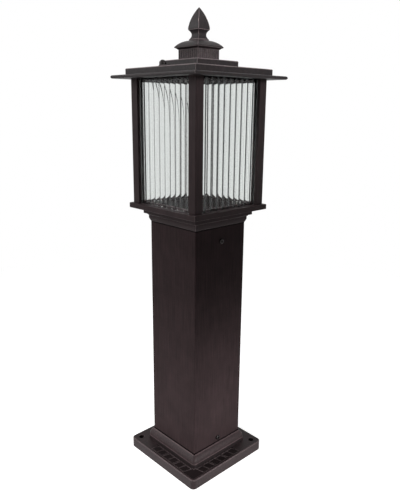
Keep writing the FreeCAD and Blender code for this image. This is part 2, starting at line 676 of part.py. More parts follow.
# ---- lampholder --------------------------------------------------------------------------
def bar_screw_places():
    offset = LANTERN_HALF - BAR_SCREW_INSET
    return [(sx * offset, sy * BAR_SCREW_SPREAD) for sx in (-1, 1) for sy in (-1, 1)]


def lampholder_bar():
    half = LANTERN_HALF - BAR_END_GAP
    bar = box(-half, half, -BAR_WIDTH / 2, BAR_WIDTH / 2, Z_FRAME_TOP, Z_BAR_TOP)
    bar = joined(bar, [rod(0, 0, BAR_DISC_R, Z_FRAME_TOP, Z_BAR_TOP)])
    holes = [rod(x, y, M3_R + SCREW_GAP, Z_FRAME_TOP, Z_BAR_TOP) for x, y in bar_screw_places()]
    holes.append(rod(0, 0, HOLDER_SKIRT_R + HOLDER_BAR_GAP, Z_FRAME_TOP, Z_BAR_TOP))
    return bar.cut(holes)


def lampholder_bar_screws():
    screw = hex_screw(M3_R, BAR_T + FRAME_PLATE, M3_HEX_R, M3_HEX_T)
    return Part.makeCompound([placed(screw, x, y, Z_BAR_TOP) for x, y in bar_screw_places()])


def lampholder_body():
    z_body = Z_BAR_TOP + HOLDER_FLANGE_T
    skirt = rod(0, 0, HOLDER_SKIRT_R, Z_HOLDER_MOUTH, Z_BAR_TOP)
    flange = rod(0, 0, HOLDER_FLANGE_R, Z_BAR_TOP, z_body)
    upper = rod(0, 0, HOLDER_BODY_R, z_body, Z_HOLDER_TOP)
    body = joined(skirt, [flange, upper])
    return body.cut(rod(0, 0, HOLDER_SOCKET_R, Z_HOLDER_MOUTH, Z_HOLDER_MOUTH + HOLDER_SOCKET_DEPTH))


def lampholder_clamp_ring():
    """Ring on the holder's skirt that clamps its flange down on the bar."""
    z0 = Z_FRAME_TOP - CLAMP_RING_T
    ring = rod(0, 0, CLAMP_RING_R, z0, Z_FRAME_TOP)
    bore = rod(0, 0, HOLDER_SKIRT_R + TURN_GAP, z0, Z_FRAME_TOP)
    half = CLAMP_NOTCH_WIDTH / 2
    notch = box(CLAMP_RING_R - CLAMP_NOTCH_DEPTH, CLAMP_RING_R, -half, half, z0, Z_FRAME_TOP)
    notches = [turned(notch, 360 / CLAMP_NOTCHES * k) for k in range(CLAMP_NOTCHES)]
    return ring.cut([bore] + notches)


def lampholder_screw_shell():
    shell = rod(0, 0, SHELL_R, Z_SHELL, Z_SHELL + SHELL_LENGTH)
    return shell.cut(rod(0, 0, SHELL_R - SHELL_WALL, Z_SHELL, Z_SHELL + SHELL_LENGTH))


def lampholder_contact():
    z_seat = Z_HOLDER_MOUTH + HOLDER_SOCKET_DEPTH
    return rod(0, 0, CONTACT_R, z_seat - CONTACT_T, z_seat)


# ---- wiring ------------------------------------------------------------------------------
def block_rods(radius, length):
    """Level cylinders from the bottoms of the terminal block's wells towards +X."""
    x = BLOCK_DEPTH - BLOCK_WELL_DEPTH - SPIGOT_INNER
    z = Z_POST_TOP + BLOCK_TOP_RISE - BLOCK_HEIGHT / 2
    ys = [BLOCK_Y + BLOCK_WAY_PITCH * (k - (BLOCK_WAYS - 1) / 2) for k in range(BLOCK_WAYS)]
    return [Part.makeCylinder(radius, length, V(x, y, z), ALONG_X) for y in ys]


def terminal_block():
    """Three-way block on the collar's left rear inner wall."""
    z1 = Z_POST_TOP + BLOCK_TOP_RISE
    x0 = -SPIGOT_INNER
    y0 = BLOCK_Y - BLOCK_WIDTH / 2
    body = box(x0, x0 + BLOCK_DEPTH, y0, y0 + BLOCK_WIDTH, z1 - BLOCK_HEIGHT, z1)
    return body.cut(block_rods(BLOCK_SCREW_R + BLOCK_WELL_GAP, BLOCK_WELL_DEPTH))


def terminal_block_screws():
    return Part.makeCompound(block_rods(BLOCK_SCREW_R, BLOCK_SCREW_LENGTH))


def earth_terminal():
    """Earth stud through the tray and the collar's plate, with its nut."""
    z_plate = Z_TRAY - COLLAR_PLATE
    stud = rod(EARTH_X, EARTH_Y, EARTH_STUD_R, z_plate - EARTH_STUD_LENGTH, Z_TRAY_TOP)
    nut = hexagon(EARTH_X, EARTH_Y, EARTH_NUT_R, z_plate - EARTH_NUT_T, z_plate)
    head = hexagon(EARTH_X, EARTH_Y, EARTH_NUT_R, Z_TRAY_TOP, Z_TRAY_TOP + EARTH_NUT_T)
    return joined(stud, [nut, head])


def lamp_lead():
    """A round lead along straight runs joined by tangent arcs."""
    points = [V(x, y, Z_TRAY_TOP + z) for x, y, z in LEAD_START]
    points += [V(x, y, Z_FRAME + z) for x, y, z in LEAD_END]
    edges = []
    start = points[0]
    radii = []
    for before, at, after in zip(points, points[1:], points[2:]):
        back = (before - at).normalize()
        ahead = (after - at).normalize()
        shorter = min((before - at).Length, (after - at).Length)
        half_turn = (math.pi - back.getAngle(ahead)) / 2
        trim = LEAD_ARC_SHARE * shorter
        radii.append(trim / math.tan(half_turn))
        enter = at + back * trim
        leave = at + ahead * trim
        inward = (back + ahead).normalize()
        middle = at + inward * (radii[-1] / math.cos(half_turn) - radii[-1])
        edges.append(Part.LineSegment(start, enter).toShape())
        edges.append(Part.Arc(enter, middle, leave).toShape())
        start = leave
    edges.append(Part.LineSegment(start, points[-1]).toShape())
    path = Part.Wire(edges)
    section = Part.Wire(Part.makeCircle(LEAD_R, points[0], points[1] - points[0]))
    lead = path.makePipeShell([section], True, False)
    print("lead bend radii mm:", [round(r, 1) for r in radii])
    straight_volume = math.pi * LEAD_R**2 * path.Length
    print("lead volume over section times length:", round(lead.Volume / straight_volume, 4))
    return lead


# ---- roof --------------------------------------------------------------------------------
def roof_shell():
    outer = square_moulding([
        (EAVE_HALF - EAVE_T / 2, Z_EAVE),
        (EAVE_HALF - EAVE_T / 2, Z_EAVE_TOP, EAVE_T / 2),
        (TIER_HALF, Z_EAVE_TOP),
        (TIER_HALF, Z_TIER_TOP - TIER_EDGE_R),
        (TIER_HALF - TIER_EDGE_R, Z_TIER_TOP),
        (UPPER_TIER_HALF, Z_ROOF_BREAK),
        (UPPER_TIER_HALF, Z_UPPER_TIER_TOP - TIER_EDGE_R),
        (UPPER_TIER_HALF - TIER_EDGE_R, Z_UPPER_TIER_TOP),
        (NECK_HALF, Z_NECK),
    ])
    z_ceiling = Z_TIER_TOP - CEILING_T
    z_break = z_ceiling + ROOF_SLOPE * (TIER_CAVITY_HALF - UPPER_CAVITY_HALF)
    z_crown = Z_NECK - CROWN_T
    cavity = square_moulding([
        (TIER_CAVITY_HALF, Z_EAVE),
        (TIER_CAVITY_HALF, z_ceiling),
        (UPPER_CAVITY_HALF, z_break),
        (UPPER_CAVITY_HALF, z_crown),
    ])
    body = outer.cut(cavity)
    half = ROOF_PAD_WIDTH / 2
    z_rooted = z_ceiling + ROOTING
    pads = [pillar(x, y, half, Z_FRAME_TOP, z_rooted) for x, y in corners(TIER_CAVITY_HALF - half)]
    z_boss = Z_FRAME_TOP + FRAME_BOSS_HEIGHT
    places = (-ROOF_SCREW_OFFSET, ROOF_SCREW_OFFSET)
    for y in places:
        pads.append(rod(0, y, ROOF_BOSS_R, z_boss, z_rooted))
        pads.append(rod(0, y, SCREW_PAD_R, Z_TIER_TOP - ROOTING, Z_SCREW_PAD))
    body = joined(body, pads)
    holes = [rod(0, y, M5_R + FACE_GAP, z_boss, Z_SCREW_PAD) for y in places]
    holes += [rod(x, y, M3_R + FACE_GAP, z_crown, Z_NECK) for x, y in corners(NECK_SCREW_OFFSET)]
    holes.append(rod(0, 0, NECK_BORE_R, z_crown, Z_NECK))
    return body.cut(holes)


def roof_screw(side):
    """Cap-headed hexagon screw that holds the roof down on the frame."""
    y = side * ROOF_SCREW_OFFSET
    z_hex = Z_ROOF_SCREW + ROOF_SCREW_HEX_T
    head = hexagon(0, y, ROOF_SCREW_HEX_R, Z_ROOF_SCREW, z_hex)
    foot_r = ROOF_SCREW_HEX_R * HEX_FLAT
    dome = Part.makeCone(foot_r, ROOF_SCREW_TOP_R, ROOF_SCREW_DOME_T, V(0, y, z_hex), UP)
    shank = rod(0, y, M5_R, Z_FRAME + ROOF_SCREW_PANE_CLEARANCE, Z_ROOF_SCREW)
    return joined(head, [dome, shank])


def roof_screw_seals():
    seals = []
    for side in (-1, 1):
        y = side * ROOF_SCREW_OFFSET
        disc = rod(0, y, ROOF_SCREW_HEX_R, Z_ROOF_SCREW - ROOF_SEAL_T, Z_ROOF_SCREW)
        seals.append(disc.cut(rod(0, y, M5_R + SCREW_GAP, Z_ROOF_SCREW - ROOF_SEAL_T, Z_ROOF_SCREW)))
    return Part.makeCompound(seals)


# ---- neck, cap and finial ----------------------------------------------------------------
def ribbed_neck():
    """Square neck with upright ribs, each with two slopes and a flat, on its four sides."""
    pitch = 2 * NECK_HALF / NECK_RIBS
    valley = NECK_HALF - NECK_GROOVE
    points = []
    for side in range(4):
        turn = FreeCAD.Rotation(UP, 90 * side)
        for k in range(NECK_RIBS):
            start = -NECK_HALF + pitch * k
            points.append(turn.multVec(V(max(start, -valley), -valley, Z_NECK)))
            points.append(turn.multVec(V(start + NECK_RIB_FLANK, -NECK_HALF, Z_NECK)))
            points.append(turn.multVec(V(start + pitch - NECK_RIB_FLANK, -NECK_HALF, Z_NECK)))
    solid = Part.Face(Part.makePolygon(points + points[:1])).extrude(V(0, 0, NECK_HEIGHT))
    holes = [rod(x, y, M3_R + FACE_GAP, Z_NECK, Z_CAP) for x, y in corners(NECK_SCREW_OFFSET)]
    holes.append(rod(0, 0, NECK_BORE_R, Z_NECK, Z_CAP))
    return solid.cut(holes)


def neck_screws():
    """Long screws up from inside the roof, through the neck into the cap."""
    length = CROWN_T + NECK_HEIGHT + NECK_SCREW_BITE
    screw = hex_screw(M3_R, length, M3_HEX_R, M3_HEX_T)
    z = Z_NECK - CROWN_T
    return Part.makeCompound([placed(screw, x, y, z, DOWN) for x, y in corners(NECK_SCREW_OFFSET)])


def domed_cap():
    z_lip = Z_CAP + CAP_LIP_HEIGHT
    z_shoulder = z_lip + CAP_SHOULDER_HEIGHT
    body = square_moulding([
        (NECK_HALF, Z_CAP),
        (CAP_LIP_HALF, z_lip, -CAP_LIP_BULGE),
        (CAP_SHOULDER_HALF, z_shoulder, CAP_SHOULDER_BULGE),
        (FINIAL_FOOT_HALF, Z_CAP_TOP, CAP_DOME_BULGE),
    ])
    z_ceiling = Z_CAP_TOP - CAP_TOP_T
    hollow = square_moulding([
        (CAP_HOLLOW_HALF, Z_CAP),
        (CAP_HOLLOW_HALF, Z_CAP + CAP_HOLLOW_WALL_HEIGHT),
        (STUD_WASHER_R + CAP_WASHER_ROOM, z_ceiling),
    ])
    z_bite = Z_CAP + NECK_SCREW_BITE
    holes = [rod(x, y, M3_R + TURN_GAP, Z_CAP, z_bite) for x, y in corners(NECK_SCREW_OFFSET)]
    holes.append(rod(0, 0, STUD_R + SCREW_GAP, z_ceiling, Z_CAP_TOP))
    return body.cut([hollow] + holes)


def finial_stud():
    return rod(0, 0, STUD_R, Z_CAP_TOP - STUD_BELOW, Z_CAP_TOP + STUD_ABOVE)


def finial_nut():
    """Nut and washer that hold the stud in the cap."""
    z_washer = Z_CAP_TOP - CAP_TOP_T - STUD_WASHER_T
    nut = hexagon(0, 0, STUD_NUT_R, z_washer - STUD_NUT_T, z_washer)
    body = joined(nut, [rod(0, 0, STUD_WASHER_R, z_washer, z_washer + STUD_WASHER_T)])
    return body.cut(rod(0, 0, STUD_R + TURN_GAP, z_washer - STUD_NUT_T, z_washer + STUD_WASHER_T))


def finial():
    """Four-sided spear: foot, waist, shoulder and a curved point."""
    z_foot = Z_CAP_TOP + FINIAL_FOOT_HEIGHT
    z_neck = Z_CAP_TOP + FINIAL_NECK_RISE
    z_neck_top = z_neck + FINIAL_NECK_HEIGHT
    z_shoulder = z_neck_top + FINIAL_SHOULDER_RISE
    z_spear = z_shoulder + FINIAL_SHOULDER_HEIGHT
    body = square_moulding([
        (FINIAL_FOOT_HALF, Z_CAP_TOP),
        (FINIAL_FOOT_HALF, z_foot),
        (FINIAL_NECK_HALF, z_neck, -FINIAL_COVE_BULGE),
        (FINIAL_NECK_HALF, z_neck_top),
        (FINIAL_SHOULDER_HALF, z_shoulder, -FINIAL_COVE_BULGE),
        (FINIAL_SHOULDER_HALF, z_spear),
        (FINIAL_TIP_HALF, z_spear + FINIAL_SPEAR_HEIGHT, FINIAL_SPEAR_BULGE),
    ])
    return body.cut(rod(0, 0, STUD_R + TURN_GAP, Z_CAP_TOP, Z_CAP_TOP + STUD_ABOVE + STUD_BORE_ROOM))


def sub_parts():
    """Every sub-part by name."""
    pane = fluted_pane()
    post = corner_post()
    return {
        "base_casting": base_casting(),
        "post_tube": post_tube(),
        "post_foot_screws": post_screws(FLANGE_HEIGHT + FOOT_SCREW_RISE),
        "post_head_screws": post_screws(Z_POST_TOP - HEAD_SCREW_DROP),
        "neck_collar": neck_collar(),
        "lantern_tray": lantern_tray(),
        "tray_screws": tray_screws(),
        "tray_grommet": tray_grommet(),
        "corner_post_right": post,
        "corner_post_rear": turned(post, 90),
        "corner_post_left": turned(post, 180),
        "corner_post_front": turned(post, 270),
        "corner_post_screws_lower": corner_post_screws_lower(),
        "corner_post_screws_upper": corner_post_screws_upper(),
        "pane_left_front": pane,
        "pane_right_front": turned(pane, 90),
        "pane_right_rear": turned(pane, 180),
        "pane_left_rear": turned(pane, 270),
        "glazing_strips": glazing_strips(),
        "top_frame": top_frame(),
        "lampholder_bar": lampholder_bar(),
        "lampholder_bar_screws": lampholder_bar_screws(),
        "lampholder_body": lampholder_body(),
        "lampholder_clamp_ring": lampholder_clamp_ring(),
        "lampholder_screw_shell": lampholder_screw_shell(),
        "lampholder_contact": lampholder_contact(),
        "terminal_block": terminal_block(),
        "terminal_block_screws": terminal_block_screws(),
        "earth_terminal": earth_terminal(),
        "lamp_lead": lamp_lead(),
        "roof_shell": roof_shell(),
        "roof_screw_front": roof_screw(-1),
        "roof_screw_rear": roof_screw(1),
        "roof_screw_seals": roof_screw_seals(),
        "ribbed_neck": ribbed_neck(),
        "neck_screws": neck_screws(),
        "domed_cap": domed_cap(),
        "finial_stud": finial_stud(),
        "finial_nut": finial_nut(),
        "finial": finial(),
    }


os.makedirs("parts", exist_ok=True)
for name, shape in sub_parts().items():
    shape.exportStep("parts/" + name + ".step")
    state = "valid" if shape.isValid() else "NOT VALID"
    print(name, len(shape.Solids), state, round(shape.Volume / 1000, 1), "cm3")
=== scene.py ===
import math

import bmesh
import bpy
from bpy.props import FloatProperty, FloatVectorProperty, IntProperty, PointerProperty
from mathutils import Matrix, Vector


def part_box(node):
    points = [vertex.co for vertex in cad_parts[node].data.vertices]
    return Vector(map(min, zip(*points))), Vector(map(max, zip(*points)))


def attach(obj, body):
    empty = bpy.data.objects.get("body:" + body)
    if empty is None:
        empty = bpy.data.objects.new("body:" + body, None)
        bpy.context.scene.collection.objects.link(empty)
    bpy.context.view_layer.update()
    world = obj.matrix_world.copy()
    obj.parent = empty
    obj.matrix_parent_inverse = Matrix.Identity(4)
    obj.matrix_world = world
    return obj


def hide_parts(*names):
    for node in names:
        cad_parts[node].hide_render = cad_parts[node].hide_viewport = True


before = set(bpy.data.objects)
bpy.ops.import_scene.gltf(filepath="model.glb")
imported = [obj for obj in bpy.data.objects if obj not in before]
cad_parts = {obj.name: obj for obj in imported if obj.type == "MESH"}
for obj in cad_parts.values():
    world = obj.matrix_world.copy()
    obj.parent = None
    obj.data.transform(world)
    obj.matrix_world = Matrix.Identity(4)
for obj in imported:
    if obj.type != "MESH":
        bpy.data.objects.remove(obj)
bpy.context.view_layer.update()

bl_info = {
    "name": "Bollard lantern finishes",
    "version": (1, 0, 0),
    "blender": (4, 5, 0),
    "location": "View3D > Sidebar > Lantern",
    "description": "Rounds, glazes and finishes the parts of a garden bollard lantern",
    "category": "Object",
}

MM = 0.001
MERGE = 1e-6                      # points closer than this are one point

# ---- sizes read from the frame -----------------------------------------------------
PANE_LOW, PANE_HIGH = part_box("pane_left_front")
PANE_FACE = -PANE_LOW.y           # from the lantern's axis to the panes' ridges
PANE_BACK = -PANE_HIGH.y
PANE_HALF = PANE_HIGH.x
TUBE_LOW, TUBE_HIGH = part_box("post_tube")
FLANGE_TOP = TUBE_LOW.z           # the tube stands on the flange
TUBE_TOP = TUBE_HIGH.z
TUBE_HALF = TUBE_HIGH.x
FLANGE_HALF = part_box("base_casting")[1].x

# ---- the base's casting, where its material changes ----------------------------------
FLANGE_MIDDLE = 0.5 * FLANGE_TOP
SKIRT_TOP = FLANGE_TOP + 21.7 * MM
SKIRT_FOOT = FLANGE_TOP + 0.2 * MM
SKIRT_DROP = FLANGE_TOP + 6.4 * MM     # the skirt's slope ends here, and drops upright
RELIEF_TOP = FLANGE_TOP - 0.1 * MM     # all of the sunk relief is below this
POCKET_TOP = FLANGE_TOP - 0.8 * MM     # and the pockets' floors are below this
RELIEF_RIM = 4.2 * MM                  # plain border round the relief
JOINT_SHADE_WIDTH = 2.6 * MM                  # painted shade along a joint, where one part meets another
ARRIS_HIGHLIGHT_WIDTH = 1.2 * MM                 # painted highlight along the skirt's lower edge
CREST_HIGHLIGHT_WIDTH = 1.0 * MM                 # and along its upper edge
CREST_DROP = 0.8 * MM                  # that line lies this far below the skirt's top

# what each mask leaves of the coat's colour: below 1 it is painted shade, above 1 painted highlight
JOINT_SHADE_SHARE = 0.18
RELIEF_SHADE_SHARE = 0.6
POCKET_SHADE_SHARE = 0.85
DROP_SHADE_SHARE = 0.4
ARRIS_HIGHLIGHT_SHARE = 3.0
CREST_HIGHLIGHT_SHARE = 2.4
# and what the matt faces inside the lantern keep of it: painted shade, as light hardly reaches them
INSIDE_SHADE_SHARE = 0.35

# ---- screws --------------------------------------------------------------------------
SHANK_R = 2.5 * MM
TUBE_SCREW_BITE = 6.9 * MM        # shank of a tube screw, from the tube's face
HEAD_RIM_SHARE = 0.45             # upright rim of a domed head, of the head's height
RECESS_SHARE = 0.55               # mouth of the cross recess, of the head's radius
RECESS_DEPTH_SHARE = 0.6          # of the head's height
ARM_HALF_ANGLE = 16               # degrees on each side of a recess's arm
ARM_REACH = 0.9                   # tip of an arm, of the mouth's radius
WEB_REACH = 0.35                  # inner corner between two arms
DOME_SCREW_HEIGHT = 7.2 * MM      # head of a roof screw, foot and dome
DOME_SCREW_FOOT = 3.2 * MM        # its hexagon
DOME_HEIGHT = DOME_SCREW_HEIGHT - DOME_SCREW_FOOT
DOME_SHARE = 0.84                 # dome's radius, of the hexagon's
HEXAGON_ROUND = 0.4 * MM
NECK_ROUND = 0.3 * MM             # rounds of the neck's thin ribs

# ---- surfaces ------------------------------------------------------------------------
SHARP = math.radians(28)          # a casting's edge past this angle is rounded
SOFT = math.radians(40)           # edges below this angle are shaded smooth
SCREW_SOFT = math.radians(35)
FLAT = math.radians(0.6)          # faces this close to one plane are one face
ROOM_SHARE = 1.2                  # the neighbour edges a round needs, of its radius
CLOUD_SIZE = 40 * MM              # faint clouds in the powder coat
GLASS_WAVE = 30 * MM              # slow waves in the pressed glass
YARN_WAVE = 5 * MM                # this wave repeats every 1.6 mm, a yarn and a gap


def linear(colour):
    """An sRGB hex colour as linear red, green, blue and alpha."""
    channels = [int(colour[k:k + 2], 16) / 255 for k in (1, 3, 5)]
    curve = [c / 12.92 if c <= 0.04045 else ((c + 0.055) / 1.055) ** 2.4 for c in channels]
    return (*curve, 1.0)


# ---- values a user would change -----------------------------------------------------
class LanternSizes(bpy.types.PropertyGroup):
    """Sizes of the finished details"""
    fine_round: FloatProperty(
        name="Fine edge", description="Radius of the small mouldings' edges",
        default=0.45 * MM, min=0.1 * MM, max=2 * MM, unit="LENGTH")
    flute_count: IntProperty(
        name="Flutes", description="Upright flutes across one pane", default=10, min=4, max=20)
    flute_depth: FloatProperty(
        name="Flute depth", description="Depth of one concave flute",
        default=0.90 * MM, min=0.1 * MM, max=2 * MM, unit="LENGTH")
    ridge_round: FloatProperty(
        name="Ridge round", description="Rounding on each side of the ridge between two flutes",
        default=0.40 * MM, min=0.05 * MM, max=2 * MM, unit="LENGTH")
    grit: FloatProperty(
        name="Powder grit", description="Spacing of the powder coat's bumps",
        default=0.9 * MM, min=0.1 * MM, max=5 * MM, unit="LENGTH")
    streak: FloatProperty(
        name="Streak width", description="Width of the brushed streaks on the tube",
        default=1.1 * MM, min=0.1 * MM, max=10 * MM, unit="LENGTH")


class LanternColours(bpy.types.PropertyGroup):
    """Colours of the finishes"""
    bronze: FloatVectorProperty(
        name="Bronze coat", description="Powder coat of the tube and the castings",
        subtype="COLOR", size=4, default=linear("#322a2b"), min=0, max=1)
    cast: FloatVectorProperty(
        name="Roof coat", description="Powder coat of the roof, the cap and the finial",
        subtype="COLOR", size=4, default=linear("#2b2728"), min=0, max=1)
    glass: FloatVectorProperty(
        name="Glass", description="Tint of the pressed panes",
        subtype="COLOR", size=4, default=linear("#edefee"), min=0, max=1)
    # painted highlight: a lighter coat on the rounded edges, where light catches them
    edge: FloatVectorProperty(
        name="Edge highlight", description="Painted highlight on the powder coat along the rounded edges",
        subtype="COLOR", size=4, default=linear("#7c7273"), min=0, max=1)
    steel: FloatVectorProperty(
        name="Inner screws", description="Stainless screws inside the lantern",
        subtype="COLOR", size=4, default=linear("#a9a6a2"), min=0, max=1)
    floor: FloatVectorProperty(
        name="Floor", description="Pale studio floor",
        subtype="COLOR", size=4, default=linear("#f4f4f4"), min=0, max=1)


# ---- materials -------------------------------------------------------------------------
def add_node(tree, kind, inputs=None, **settings):
    """A node with its settings. An input is a number, a tuple of numbers, or (node, output)."""
    made = tree.nodes.new(kind)
    for name, value in settings.items():
        setattr(made, name, value)
    for socket, value in (inputs or {}).items():
        if isinstance(value, tuple) and isinstance(value[0], bpy.types.Node):
            tree.links.new(value[0].outputs[value[1]], made.inputs[socket])
        else:
            made.inputs[socket].default_value = value
    return made


def new_material(name):
    """An empty node material and its tree."""
    material = bpy.data.materials.new(name)
    material.use_nodes = True
    material.node_tree.nodes.clear()
    return material, material.node_tree


def finish_material(tree, shader):
    """Joins the shader to the material's output."""
    add_node(tree, "ShaderNodeOutputMaterial", {"Surface": shader})


def axis_of(tree, where, axis):
    """One Object coordinate."""
    return add_node(tree, "ShaderNodeSeparateXYZ", {"Vector": (where, "Object")}), axis


def math_node(tree, operation, *values):
    """A Math node's result."""
    return add_node(tree, "ShaderNodeMath", dict(enumerate(values)), operation=operation), 0


def level_mask(level, width):
    """A mask that is 1 at a height, fading to 0 within the width."""
    def make(tree, where):
        away = math_node(tree, "SUBTRACT", axis_of(tree, where, "Z"), level)
        return add_node(tree, "ShaderNodeMapRange", {
            "Value": math_node(tree, "ABSOLUTE", away), "From Min": width / 2, "From Max": width,
            "To Min": 1.0, "To Max": 0.0}), 0
    return make


def zone_mask(low, high, half):
    """A mask that is 1 between two heights, inside a square about the axis."""
    def make(tree, where):
        height = axis_of(tree, where, "Z")
        between = math_node(tree, "COMPARE", height, (low + high) / 2, (high - low) / 2)
        across = math_node(tree, "MAXIMUM", math_node(tree, "ABSOLUTE", axis_of(tree, where, "X")),
                           math_node(tree, "ABSOLUTE", axis_of(tree, where, "Y")))
        return math_node(tree, "MULTIPLY", between, math_node(tree, "LESS_THAN", across, half))
    return make


def bronze_powder_coat(name, colour, grit, streak=0.0, mottle=0.28, masks=(),
                       gloss=(0.36, 0.52), specular=0.12):
    """Dark bronze polyester powder on aluminium: a satin orange-peel skin. The tube under it was
    brushed lengthwise, so reddish and dark streaks run up it; castings only look faintly mottled.
    The masks paint light and shade into the coat: painted shade in joints, sunk relief and under the
    skirt's slope, painted highlights along arrises. Each mask comes with the share of the colour
    that is left where it is 1. Gloss is the roughness's range."""
    material, tree = new_material(name)
    where = add_node(tree, "ShaderNodeTexCoord")
    peel = add_node(tree, "ShaderNodeTexNoise", {
        "Vector": (where, "Object"), "Scale": 1 / grit, "Detail": 3.0, "Roughness": 0.6})
    patch = add_node(tree, "ShaderNodeTexNoise", {
        "Vector": (where, "Object"), "Scale": 1 / CLOUD_SIZE, "Detail": 4.0, "Roughness": 0.55})
    if streak:
        # a streak is 60 times as long as it is wide
        stretch = add_node(tree, "ShaderNodeMapping", {
            "Vector": (where, "Object"), "Scale": (1 / streak, 1 / streak, 1 / (60 * streak))})
        grain = add_node(tree, "ShaderNodeTexNoise", {
            "Vector": (stretch, "Vector"), "Scale": 1.0, "Detail": 4.0, "Roughness": 0.7})
    else:
        grain = add_node(tree, "ShaderNodeTexNoise", {
            "Vector": (where, "Object"), "Scale": 1 / (4 * grit), "Detail": 3.0, "Roughness": 0.6})
    dark = tuple(c * (1 - mottle) for c in colour[:3]) + (1.0,)
    redder = (0.9, 0.45, 0.5)         # shares of the mottle in red, green and blue
    warm = tuple(c * (1 + share * mottle) for c, share in zip(colour, redder)) + (1.0,)
    tone = add_node(tree, "ShaderNodeValToRGB", {"Fac": (grain, "Fac")})
    tone.color_ramp.elements[0].position = 0.32
    tone.color_ramp.elements[0].color = dark
    tone.color_ramp.elements[1].position = 0.70
    tone.color_ramp.elements[1].color = warm
    clouds = add_node(tree, "ShaderNodeMapRange", {
        "Value": (patch, "Fac"), "From Min": 0.35, "From Max": 0.65, "To Min": 0.88, "To Max": 1.10})
    coat = add_node(tree, "ShaderNodeVectorMath", {0: (tone, "Color"), 1: (clouds, "Result")},
                    operation="MULTIPLY")
    for mask, share in masks:
        kept = add_node(tree, "ShaderNodeMapRange", {
            "Value": mask(tree, where), "To Min": 1.0, "To Max": share})
        coat = add_node(tree, "ShaderNodeVectorMath", {0: (coat, "Vector"), 1: (kept, "Result")},
                        operation="MULTIPLY")
    rough = add_node(tree, "ShaderNodeMapRange", {
        "Value": (grain, "Fac"), "To Min": gloss[0], "To Max": gloss[1]})
    bump = add_node(tree, "ShaderNodeBump", {
        "Height": (peel, "Fac"), "Strength": 0.12, "Distance": 0.1 * MM})
    shader = add_node(tree, "ShaderNodeBsdfPrincipled", {
        "Base Color": (coat, "Vector"), "Roughness": (rough, "Result"),
        "Specular IOR Level": specular, "IOR": 1.5, "Normal": (bump, "Normal")})
    finish_material(tree, (shader, "BSDF"))
    return material


def painted_ridge_mask(tree, where, axis, pitch, width):
    """1 along the ridges between two flutes, fading to 0 within the width on each side: where shade is
    painted on the glass.
    """
    along = math_node(tree, "ADD", axis_of(tree, where, axis), PANE_HALF)
    away = math_node(tree, "PINGPONG", along, pitch / 2)
    near = add_node(tree, "ShaderNodeMapRange", {
        "Value": away, "From Min": 0.3 * width, "From Max": width, "To Min": 1.0, "To Max": 0.0},
                    interpolation_type="SMOOTHSTEP")
    return near, "Result"


def pressed_glass(colour, name="pressed_soda_lime_glass", ridges=None):
    """Clear soda-lime glass pressed with flutes: smooth and fire-polished, nearly colourless. The
    ridges between the flutes turn the light away sideways; that dark look is painted shade, a dark
    shader mixed into the glass along the ridges with soft sides. Ridges are given as axis, pitch,
    width and how dark the painted shade is."""
    material, tree = new_material(name)
    where = add_node(tree, "ShaderNodeTexCoord")
    wave = add_node(tree, "ShaderNodeTexNoise", {
        "Vector": (where, "Object"), "Scale": 1 / GLASS_WAVE, "Detail": 1.0})
    bump = add_node(tree, "ShaderNodeBump", {
        "Height": (wave, "Fac"), "Strength": 0.1, "Distance": 0.2 * MM})
    # the dark tint weakens the white surround's reflection in the glass
    body = add_node(tree, "ShaderNodeBsdfPrincipled", {
        "Base Color": colour, "Roughness": 0.02, "IOR": 1.5, "Transmission Weight": 1.0,
        "Normal": (bump, "Normal"), "Specular Tint": (0.12, 0.12, 0.12, 1.0)})
    clear = add_node(tree, "ShaderNodeBsdfTransparent", {"Color": (0.9, 0.92, 0.91, 1.0)})
    ray = add_node(tree, "ShaderNodeLightPath")
    if ridges:
        axis, pitch, width, ridge_shade_strength = ridges
        # painted shade: a dark shader mixed into the glass along the ridges
        mask = math_node(tree, "MULTIPLY", painted_ridge_mask(tree, where, axis, pitch, width), ridge_shade_strength)
        dark = add_node(tree, "ShaderNodeBsdfPrincipled", {
            "Base Color": linear("#20282a"), "Roughness": 0.15})
        body = add_node(tree, "ShaderNodeMixShader", {0: mask, 1: (body, "BSDF"), 2: (dark, "BSDF")})
    both = add_node(tree, "ShaderNodeMixShader", {
        0: (ray, "Is Shadow Ray"), 1: (body, 0), 2: (clear, "BSDF")})
    finish_material(tree, (both, "Shader"))
    return material


def plain_finish(name, colour, roughness, metallic=0.0, grain=0.5 * MM, contrast=0.15):
    """A small part's finish: one colour, faintly uneven, with a fine moulded, turned or drawn
    texture."""
    material, tree = new_material(name)
    where = add_node(tree, "ShaderNodeTexCoord")
    noise = add_node(tree, "ShaderNodeTexNoise", {
        "Vector": (where, "Object"), "Scale": 1 / grain, "Detail": 2.0})
    tone = add_node(tree, "ShaderNodeValToRGB", {"Fac": (noise, "Fac")})
    darker = tuple(c * (1 - contrast) for c in colour[:3])
    lighter = tuple(min(1.0, c * (1 + contrast)) for c in colour[:3])
    tone.color_ramp.elements[0].color = darker + (1.0,)
    tone.color_ramp.elements[1].color = lighter + (1.0,)
    rough = add_node(tree, "ShaderNodeMapRange", {
        "Value": (noise, "Fac"), "To Min": roughness * 0.8, "To Max": roughness * 1.2})
    bump = add_node(tree, "ShaderNodeBump", {
        "Height": (noise, "Fac"), "Strength": 0.3, "Distance": 0.02 * MM})
    shader = add_node(tree, "ShaderNodeBsdfPrincipled", {
        "Base Color": (tone, "Color"), "Roughness": (rough, "Result"), "Metallic": metallic,
        "Normal": (bump, "Normal")})
    finish_material(tree, (shader, "BSDF"))
    return material


